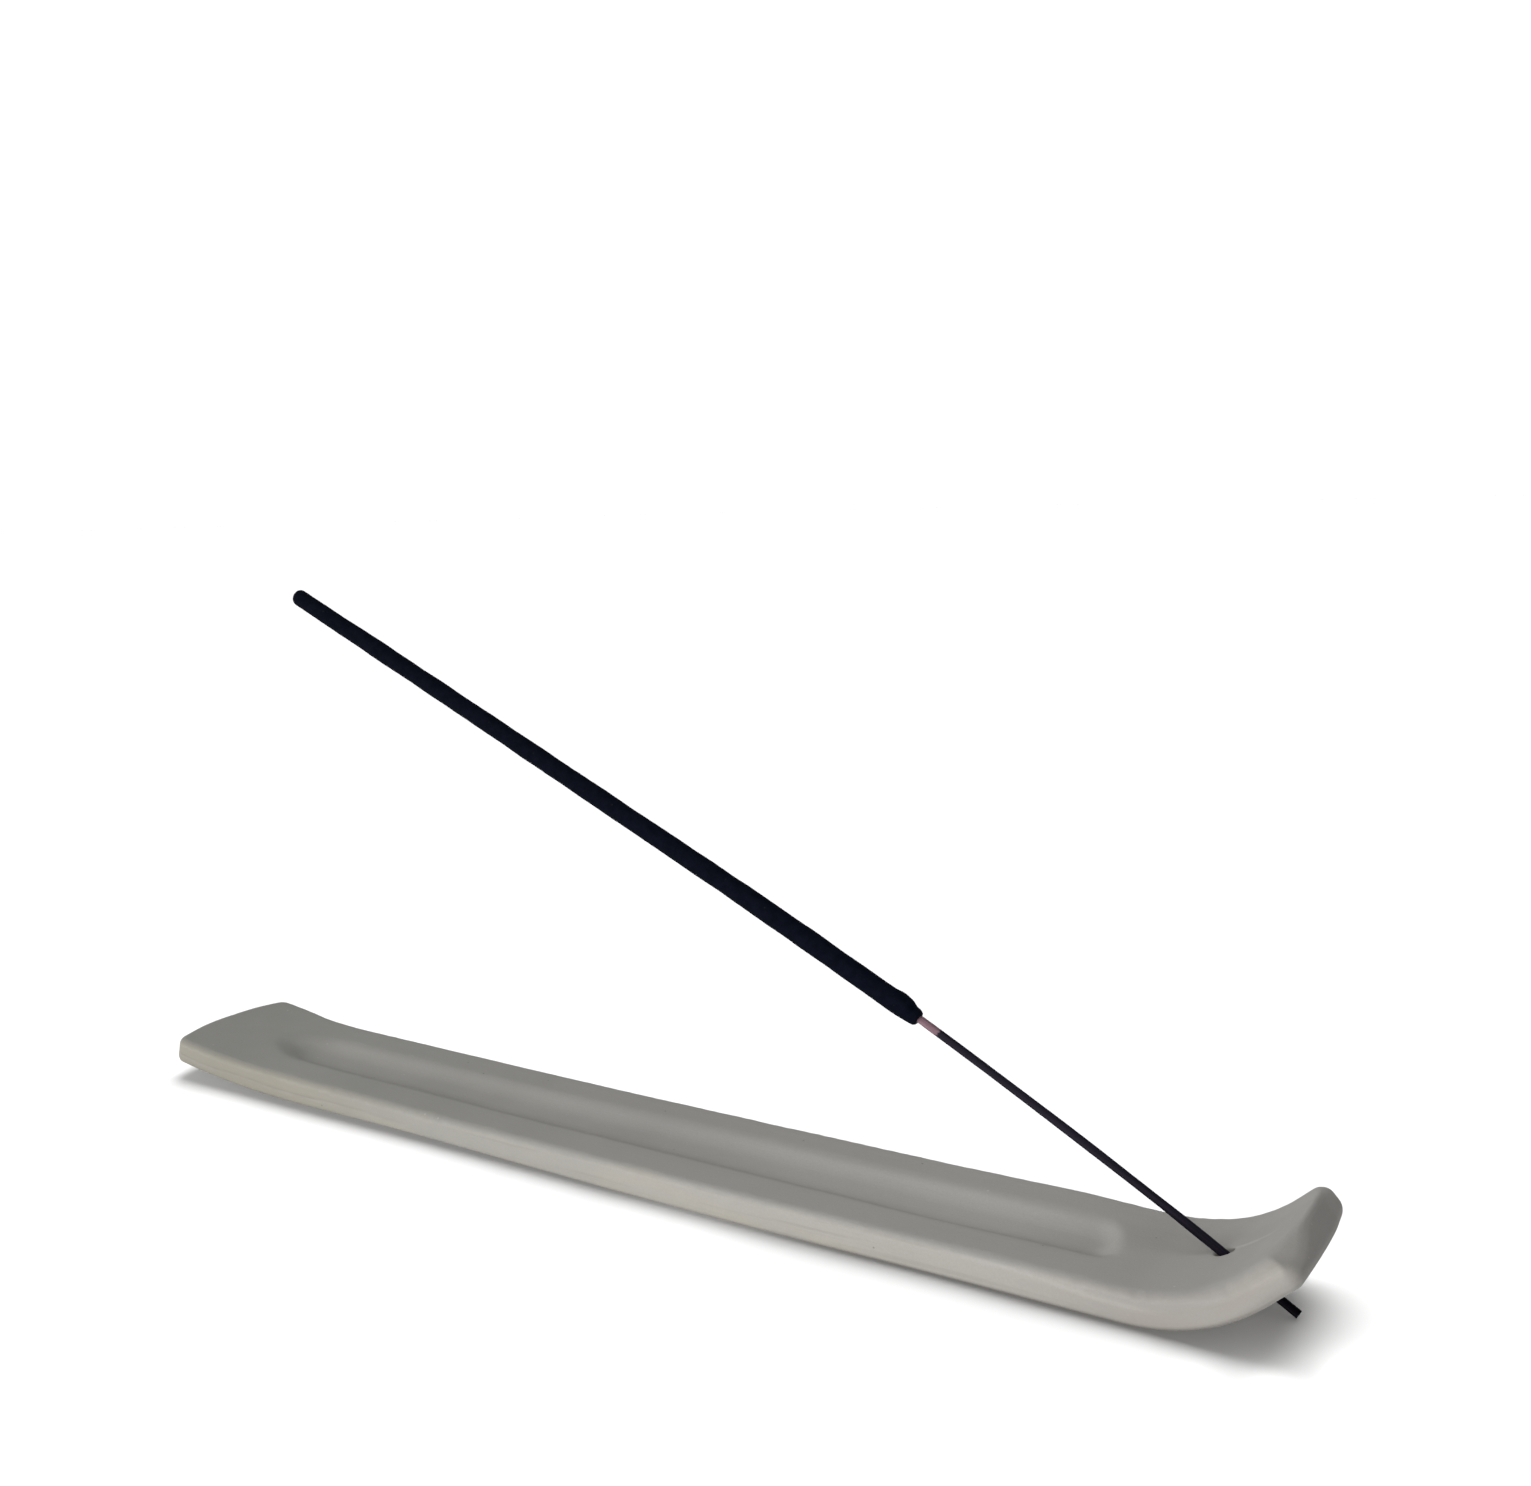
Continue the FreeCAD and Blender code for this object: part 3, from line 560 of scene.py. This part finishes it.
# the cut end: flat, with its edge rounded more below than above
cap = np.clip((u - (run - TIP_ROUND)) / TIP_ROUND, 0.0, 1.0)
round_off = 0.62 - 0.24 * np.cos(theta)
radii = radii - round_off[None, :] * (1 - np.sqrt(np.maximum(1 - cap**2, 0.0)))[:, None]
lump = Waves(12, 9.0, 16, 3)
lump_fine = Waves(13, 1.6, 24, 3)
cx, cz = np.cos(theta)[None, :] * 1.8, np.sin(theta)[None, :] * 1.8
uneven = 0.022 * lump(u[:, None], cx, cz) + 0.010 * lump_fine(u[:, None], cx, cz)
radii = radii * (1 + uneven / 1.8 * ramp(0.0, 0.8, u)[:, None] * ramp(run, run - 1.0, u)[:, None])
radii[-2] *= 0.6
radii[-1] *= 0.15

# outside from the collar to the tip, and inside along the bore
bore_t = np.concatenate([[CORE_END + 0.06], np.arange(CORE_END - 0.5, PASTE_START + 1.0, -6.0),
                         [PASTE_START + 0.3, PASTE_START]])
bore_r = np.full((len(bore_t), SEG), 0.69)
all_t = np.concatenate([bore_t, PASTE_START + u])
all_r = np.vstack([bore_r, radii])
rise = np.concatenate([np.zeros(len(bore_t)), -0.09 * ramp(3.0, 12.0, u)])
paste = closed_tube(
    "incense_coat", all_t, all_r,
    (("along", "FLOAT", np.repeat(all_t[:, None], SEG, 1)),), rise,
)


# ------------------------------------------------------------------ materials
class Nodes:
    def __init__(self, name):
        self.material = bpy.data.materials.new(name)
        self.material.use_nodes = True
        self.tree = self.material.node_tree
        self.tree.nodes.clear()
        self.out = self.add("ShaderNodeOutputMaterial")
        self.shader = self.add("ShaderNodeBsdfPrincipled")
        self.link(self.shader.outputs["BSDF"], self.out.inputs["Surface"])

    def add(self, kind, **settings):
        node = self.tree.nodes.new(kind)
        for key, value in settings.items():
            setattr(node, key, value)
        return node

    def link(self, a, b):
        self.tree.links.new(a, b)

    def put(self, socket, value):
        if isinstance(value, bpy.types.NodeSocket):
            self.link(value, socket)
        else:
            socket.default_value = value

    def attribute(self, name, vector=False):
        node = self.add("ShaderNodeAttribute", attribute_name=name)
        return node.outputs["Vector" if vector else "Fac"]

    def scaled(self, vector, scale):
        node = self.add("ShaderNodeVectorMath", operation="MULTIPLY")
        self.link(vector, node.inputs[0])
        node.inputs[1].default_value = scale
        return node.outputs["Vector"]

    def noise(self, vector, scale, detail=2.0, rough=0.5, distortion=0.0):
        node = self.add("ShaderNodeTexNoise", noise_dimensions="3D")
        self.link(vector, node.inputs["Vector"])
        node.inputs["Scale"].default_value = scale
        node.inputs["Detail"].default_value = detail
        node.inputs["Roughness"].default_value = rough
        node.inputs["Distortion"].default_value = distortion
        return node.outputs["Fac"]

    def cells(self, vector, scale, jitter=1.0):
        node = self.add("ShaderNodeTexVoronoi", voronoi_dimensions="3D", feature="F1")
        self.link(vector, node.inputs["Vector"])
        node.inputs["Scale"].default_value = scale
        node.inputs["Randomness"].default_value = jitter
        return node.outputs["Distance"], node.outputs["Color"]

    def math(self, operation, a, b=0.0, clamp=False):
        node = self.add("ShaderNodeMath", operation=operation, use_clamp=clamp)
        self.put(node.inputs[0], a)
        self.put(node.inputs[1], b)
        return node.outputs["Value"]

    def between(self, value, lo, hi, to_lo=0.0, to_hi=1.0):
        node = self.add("ShaderNodeMapRange", interpolation_type="SMOOTHSTEP", clamp=True)
        self.put(node.inputs["Value"], value)
        node.inputs["From Min"].default_value = lo
        node.inputs["From Max"].default_value = hi
        node.inputs["To Min"].default_value = to_lo
        node.inputs["To Max"].default_value = to_hi
        return node.outputs["Result"]

    def mix(self, factor, a, b, blend="MIX"):
        node = self.add("ShaderNodeMix", data_type="RGBA", blend_type=blend, clamp_factor=True)
        self.put(node.inputs[0], factor)
        self.put(node.inputs[6], a)
        self.put(node.inputs[7], b)
        return node.outputs[2]

    def bump(self, height, strength, distance, normal=None):
        node = self.add("ShaderNodeBump")
        node.inputs["Strength"].default_value = strength
        node.inputs["Distance"].default_value = distance
        self.link(height, node.inputs["Height"])
        if normal is not None:
            self.link(normal, node.inputs["Normal"])
        return node.outputs["Normal"]


def grey(r, g, b):
    return (r, g, b, 1.0)


def cast_grey():
    m = Nodes("cast_grey")
    flat = m.attribute("flat", True)
    edge, hollow, wall = m.attribute("edge"), m.attribute("hollow"), m.attribute("wall")
    seam, ridge = m.attribute("seam"), m.attribute("ridge")
    place = m.add("ShaderNodeSeparateXYZ")
    m.link(flat, place.inputs["Vector"])
    clouds = m.noise(flat, 0.030, 3.0, 0.55, 0.4)
    mottle = m.noise(flat, 0.16, 4.0, 0.6, 0.3)
    grain = m.noise(flat, 2.6, 3.0, 0.65)
    fine = m.noise(flat, 7.0, 2.0, 0.6)
    streak = m.noise(m.scaled(flat, (0.022, 0.5, 1.5)), 1.0, 4.0, 0.6, 0.6)
    blotch = m.noise(m.scaled(flat, (0.05, 0.16, 0.25)), 1.0, 2.0, 0.5, 0.5)

    # the mix drifts from a greenish grey at the far end to a warmer, paler one; the paleness towards the curl is
    # partly painted light, the tray shown more strongly lit there
    cool = m.mix(m.between(clouds, 0.32, 0.68), grey(0.199, 0.2005, 0.185), grey(0.209, 0.2095, 0.194))
    warm = m.mix(m.between(clouds, 0.32, 0.68), grey(0.233, 0.2285, 0.216), grey(0.244, 0.239, 0.226))
    colour = m.mix(m.between(place.outputs["X"], -120.0, 60.0), cool, warm)
    colour = m.mix(m.between(mottle, 0.30, 0.75, 0.0, 0.30), colour, grey(0.244, 0.239, 0.224))
    # warm stains on the sides, with faint lines left by the mould
    stain = m.math("MULTIPLY", m.between(blotch, 0.48, 0.66, 0.0, 0.45), wall)
    colour = m.mix(stain, colour, grey(0.254, 0.243, 0.207))
    patch = m.noise(m.scaled(flat, (0.22, 0.5, 0.5)), 1.0, 3.0, 0.6, 0.4)
    colour = m.mix(m.math("MULTIPLY", m.between(patch, 0.52, 0.70, 0.0, 0.5), wall), colour, grey(0.236, 0.224, 0.214))
    # painted shade: the sides darkened towards the curl
    painted_side_shade = m.math("MULTIPLY", m.between(place.outputs["X"], 70.0, 104.0, 0.0, 0.58), wall)
    colour = m.mix(painted_side_shade, colour, grey(0.178, 0.168, 0.160))
    yellowed = m.math("MULTIPLY", m.between(place.outputs["X"], -92.0, -42.0, 0.75, 0.0), wall)
    colour = m.mix(yellowed, colour, grey(0.197, 0.187, 0.153))
    lines = m.math("MULTIPLY", m.between(streak, 0.50, 0.70, 0.0, 0.5), wall)
    colour = m.mix(lines, colour, grey(0.196, 0.188, 0.172))
    colour = m.mix(m.math("MULTIPLY", seam, 0.35), colour, grey(0.140, 0.132, 0.120))
    # a pale line along the crease up the curl, and a painted highlight along the low fold on the near side
    colour = m.mix(m.math("MULTIPLY", ridge, 0.75), colour, grey(0.330, 0.320, 0.305))
    # painted shade along the foot of the sides, where they meet the table, stronger towards the curl
    painted_foot_shade = m.math("MULTIPLY", wall, m.between(place.outputs["Z"], 0.1, 1.0, 1.0, 0.0))
    painted_foot_shade = m.math("MULTIPLY", painted_foot_shade, m.between(place.outputs["X"], 25.0, 65.0, 0.15, 0.65))
    colour = m.mix(painted_foot_shade, colour, grey(0.070, 0.067, 0.063))
    # rubbed edges, paler partly from wear and partly as a painted highlight just below the top edges, and a little
    # pale dust in the trough
    worn_and_highlight = m.math("MULTIPLY", edge, m.between(mottle, 0.35, 0.70, 0.10, 0.45))
    colour = m.mix(worn_and_highlight, colour, grey(0.266, 0.258, 0.242))
    # the pale dust is left off the trough's near wall and is paler up its far wall, partly as painted light
    drift = m.math("MULTIPLY", m.between(place.outputs["X"], -10.0, 38.0, 0.0, 0.62), m.between(place.outputs["X"], 68.0, 90.0, 1.0, 0.2))
    dust_and_light = m.math("MULTIPLY", hollow, m.math("ADD", m.between(clouds, 0.30, 0.70, 0.13, 0.27), drift))
    colour = m.mix(dust_and_light, colour, grey(0.284, 0.278, 0.264))
    # painted light: the trough's far rim paler along the middle of the tray
    painted_far_rim_light = m.math("MULTIPLY", m.between(place.outputs["Y"], 5.5, 8.5, 0.0, 0.16), m.between(place.outputs["X"], -10.0, 30.0))
    colour = m.mix(painted_far_rim_light, colour, grey(0.310, 0.304, 0.290))
    # painted shade: the upper face of the curl darker past the hole
    inside = m.between(place.outputs["X"], 98.0, 112.0, 0.0, 0.30)
    inside = m.math("MULTIPLY", inside, m.between(place.outputs["Z"], THICK - 1.0, THICK - 0.2))
    colour = m.mix(inside, colour, grey(0.188, 0.185, 0.178))
    # sand grains and a few dark and light specks
    colour = m.mix(m.between(grain, 0.30, 0.70, 0.0, 0.16), colour, grey(0.165, 0.162, 0.150))
    near, tint = m.cells(flat, 0.42)
    pick = m.add("ShaderNodeSeparateColor")
    m.link(tint, pick.inputs["Color"])
    dark = m.math("MULTIPLY", m.between(near, 0.05, 0.11, 1.0, 0.0), m.between(pick.outputs["Red"], 0.90, 0.92))
    pale = m.math("MULTIPLY", m.between(near, 0.05, 0.12, 1.0, 0.0), m.between(pick.outputs["Green"], 0.93, 0.95))
    colour = m.mix(m.math("MULTIPLY", dark, 0.55), colour, grey(0.085, 0.080, 0.072))
    colour = m.mix(m.math("MULTIPLY", pale, 0.40), colour, grey(0.380, 0.370, 0.345))
    m.link(colour, m.shader.inputs["Base Color"])

    rough = m.between(mottle, 0.25, 0.75, 0.74, 0.88)
    rough = m.math("SUBTRACT", rough, m.math("MULTIPLY", edge, 0.08))
    m.link(rough, m.shader.inputs["Roughness"])
    m.shader.inputs["Specular IOR Level"].default_value = 0.10

    height = m.math("ADD", m.math("MULTIPLY", grain, 0.6), m.math("MULTIPLY", fine, 0.3))
    height = m.math("SUBTRACT", height, m.math("MULTIPLY", dark, 0.8))
    normal = m.bump(height, 0.55, 0.00007)
    soft = m.bump(streak, 0.35, 0.00012, normal)
    m.link(soft, m.shader.inputs["Normal"])
    return m.material


def dyed_bamboo():
    m = Nodes("dyed_bamboo")
    spot = m.attribute("around", True)
    place = m.add("ShaderNodeSeparateXYZ")
    m.link(spot, place.inputs["Vector"])
    along = place.outputs["X"]
    fibres = m.noise(m.scaled(spot, (0.10, 5.0, 5.0)), 1.0, 4.0, 0.6)
    flecks = m.noise(m.scaled(spot, (0.6, 3.0, 3.0)), 1.0, 3.0, 0.6)
    bleed = m.noise(m.scaled(spot, (0.5, 4.0, 4.0)), 1.0, 2.0, 0.5)
    dye = m.mix(m.between(fibres, 0.35, 0.70), grey(0.0032, 0.0024, 0.0058), grey(0.0085, 0.0064, 0.0145))
    dye = m.mix(m.between(flecks, 0.60, 0.80, 0.0, 0.35), dye, grey(0.024, 0.019, 0.030))
    # painted shade: the dye darker towards the foot, which stands low under the curl
    dye = m.mix(m.between(along, 6.0, 15.0, 0.75, 0.0), dye, grey(0.0014, 0.0012, 0.0018))
    bare = m.mix(m.between(fibres, 0.35, 0.70), grey(0.105, 0.060, 0.076), grey(0.178, 0.112, 0.136))
    bare = m.mix(m.between(flecks, 0.55, 0.80, 0.0, 0.4), bare, grey(0.130, 0.064, 0.084))
    edge = m.math("ADD", along, m.math("MULTIPLY", m.math("SUBTRACT", bleed, 0.5), 1.4))
    band = m.between(edge, BAND_START - 0.2, BAND_START + 0.2)
    colour = m.mix(band, dye, bare)
    m.link(colour, m.shader.inputs["Base Color"])
    m.link(m.between(fibres, 0.3, 0.7, 0.50, 0.72), m.shader.inputs["Roughness"])
    m.link(m.between(along, 6.0, 16.0, 0.02, 0.10), m.shader.inputs["Specular IOR Level"])
    m.link(m.bump(fibres, 0.6, 0.00005), m.shader.inputs["Normal"])
    return m.material


def incense_black():
    m = Nodes("incense_black")
    place = m.add("ShaderNodeTexCoord")
    spot = m.scaled(place.outputs["Object"], (1000.0, 1000.0, 1000.0))
    powder = m.noise(spot, 5.5, 4.0, 0.7)
    lumps = m.noise(spot, 0.55, 3.0, 0.6)
    colour = m.mix(m.between(lumps, 0.30, 0.70), grey(0.0013, 0.0020, 0.0047), grey(0.0024, 0.0034, 0.0072))
    colour = m.mix(m.between(powder, 0.55, 0.75, 0.0, 0.6), colour, grey(0.0042, 0.0056, 0.0098))
    near, tint = m.cells(spot, 1.1)
    pick = m.add("ShaderNodeSeparateColor")
    m.link(tint, pick.inputs["Color"])
    chip = m.math("MULTIPLY", m.between(near, 0.10, 0.20, 1.0, 0.0), m.between(pick.outputs["Red"], 0.93, 0.95))
    colour = m.mix(m.math("MULTIPLY", chip, 0.5), colour, grey(0.016, 0.015, 0.014))
    m.link(colour, m.shader.inputs["Base Color"])
    m.link(m.between(powder, 0.3, 0.7, 0.78, 0.95), m.shader.inputs["Roughness"])
    m.shader.inputs["Specular IOR Level"].default_value = 0.02
    height = m.math("ADD", m.math("MULTIPLY", powder, 0.7), m.math("MULTIPLY", lumps, 0.5))
    m.link(m.bump(height, 0.8, 0.00012), m.shader.inputs["Normal"])
    return m.material


for obj, body_name, node, slot, material in (
    (tray, "tray", "tray", "cast_grey", cast_grey()),
    (core, "stick", "bamboo_core", "dyed_bamboo", dyed_bamboo()),
    (paste, "stick", "incense_paste", "incense_black", incense_black()),
):
    obj.data.materials.append(material)
    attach(obj, body_name)
    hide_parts(node)

# ------------------------------------------------------------------ studio
scene = bpy.context.scene
scene.view_settings.view_transform = "Standard"
scene.view_settings.look = "None"
scene.view_settings.exposure = 0.0
scene.view_settings.gamma = 1.0

SPAN = 9.0
bpy.ops.mesh.primitive_circle_add(vertices=128, radius=SPAN, fill_type="NGON", location=(0, 0, 0))
floor = bpy.context.object
floor.name = "studio_floor"
white = Nodes("studio_white")
white.shader.inputs["Base Color"].default_value = (0.55, 0.55, 0.55, 1.0)
white.shader.inputs["Roughness"].default_value = 1.0
white.shader.inputs["Specular IOR Level"].default_value = 0.0
floor.data.materials.append(white.material)

# a plain white backdrop all round, which sheds no light and casts no shadow
bpy.ops.mesh.primitive_uv_sphere_add(segments=96, ring_count=48, radius=0.97 * SPAN, location=(0, 0, 0))
backdrop = bpy.context.object
backdrop.name = "studio_backdrop"
glow = Nodes("studio_glow")
glow.shader.inputs["Base Color"].default_value = (0.0, 0.0, 0.0, 1.0)
glow.shader.inputs["Specular IOR Level"].default_value = 0.0
glow.shader.inputs["Emission Color"].default_value = (1.0, 1.0, 1.0, 1.0)
glow.shader.inputs["Emission Strength"].default_value = 1.03
glow.material.cycles.emission_sampling = "NONE"
backdrop.data.materials.append(glow.material)
backdrop.visible_diffuse = False
backdrop.visible_glossy = False
backdrop.visible_transmission = False
backdrop.visible_volume_scatter = False
backdrop.visible_shadow = False

# the light of a plain sky, white near the horizon and darker above
world = bpy.data.worlds.new("studio")
scene.world = world
world.use_nodes = True
sky = world.node_tree
sky.nodes.clear()
coords = sky.nodes.new("ShaderNodeTexCoord")
split = sky.nodes.new("ShaderNodeSeparateXYZ")
sky.links.new(coords.outputs["Generated"], split.inputs["Vector"])
blend = sky.nodes.new("ShaderNodeMapRange")
blend.interpolation_type = "SMOOTHSTEP"
sky.links.new(split.outputs["Z"], blend.inputs["Value"])
blend.inputs["From Min"].default_value = 0.28
blend.inputs["From Max"].default_value = 0.42
blend.inputs["To Min"].default_value = 1.03
blend.inputs["To Max"].default_value = 0.12
light = sky.nodes.new("ShaderNodeBackground")
light.inputs["Color"].default_value = (1.0, 1.0, 1.0, 1.0)
sky.links.new(blend.outputs["Result"], light.inputs["Strength"])
done = sky.nodes.new("ShaderNodeOutputWorld")
sky.links.new(light.outputs["Background"], done.inputs["Surface"])


def group(name, members):
    made = bpy.data.collections.new(name)
    for member in members:
        made.objects.link(member)
    return made


on_object = group("lit_object", (tray, core, paste))
on_floor = group("lit_floor", (floor,))


def sun(name, towards, strength, angle, colour, lights_only):
    """A distant soft light; towards is the direction that it stands in."""
    data = bpy.data.lights.new(name, "SUN")
    data.energy = strength
    data.angle = math.radians(angle)
    data.color = colour
    obj = bpy.data.objects.new(name, data)
    bpy.context.scene.collection.objects.link(obj)
    obj.rotation_mode = "QUATERNION"
    obj.rotation_quaternion = Vector(towards).to_track_quat("Z", "Y")
    obj.light_linking.receiver_collection = lights_only
    return obj


def panel(name, spot, target, size, power, colour, lights_only):
    """A soft panel; only what it lights can shade it."""
    data = bpy.data.lights.new(name, "AREA")
    data.shape = "RECTANGLE"
    data.size, data.size_y = size
    data.energy = power
    data.color = colour
    obj = bpy.data.objects.new(name, data)
    bpy.context.scene.collection.objects.link(obj)
    obj.location = Vector(spot)
    obj.rotation_mode = "QUATERNION"
    obj.rotation_quaternion = (Vector(spot) - Vector(target)).to_track_quat("Z", "Y")
    obj.visible_camera = False
    obj.light_linking.receiver_collection = lights_only
    obj.light_linking.blocker_collection = lights_only
    return obj


# the object: soft light from the front left and above, and light thrown up from a
# pale table in front of it; the floor: a broad light from above, a little behind,
# so that the shadow is soft and falls just forward of the object
sun("key", (-0.504, -0.645, 0.574), 2.25, 40.0, (1.0, 0.995, 0.985), on_object)
sun("top", (-0.171, -0.296, 0.940), 1.30, 50.0, (1.0, 1.0, 1.0), on_object)
sun("rear", (0.0, 0.766, 0.643), 0.12, 40.0, (1.0, 1.0, 1.0), on_object)
panel("table", (0.060, -0.285, -0.186), (0.060, -0.015, 0.003), (0.30, 0.15), 1.03, (1.0, 0.960, 0.915), on_object)
sun("over", (-0.14, 0.47, 0.871), 6.12, 60.0, (1.0, 1.0, 1.0), on_floor)
for name, spot, width, power in (
    ("fill", (-0.078, -0.040, 0.090), 0.06, 0.0180),
    ("fill_wide", (-0.030, -0.050, 0.200), 0.10, 0.0395),
    ("fill_left", (-0.126, -0.028, 0.035), 0.03, 0.0046),
    ("fill_right", (0.132, -0.012, 0.010), 0.008, 0.0012),
    ("fill_mid", (0.020, -0.020, 0.024), 0.010, 0.0009),
    ("fill_lip", (0.110, -0.0210, 0.005), 0.005, 0.0001),
    ("fill_tip", (0.1195, -0.0190, 0.005), 0.005, 0.00026),
):
    panel(name, spot, (spot[0], spot[1], 0.0), (width, width), power, (1.0, 1.0, 1.0), on_floor)
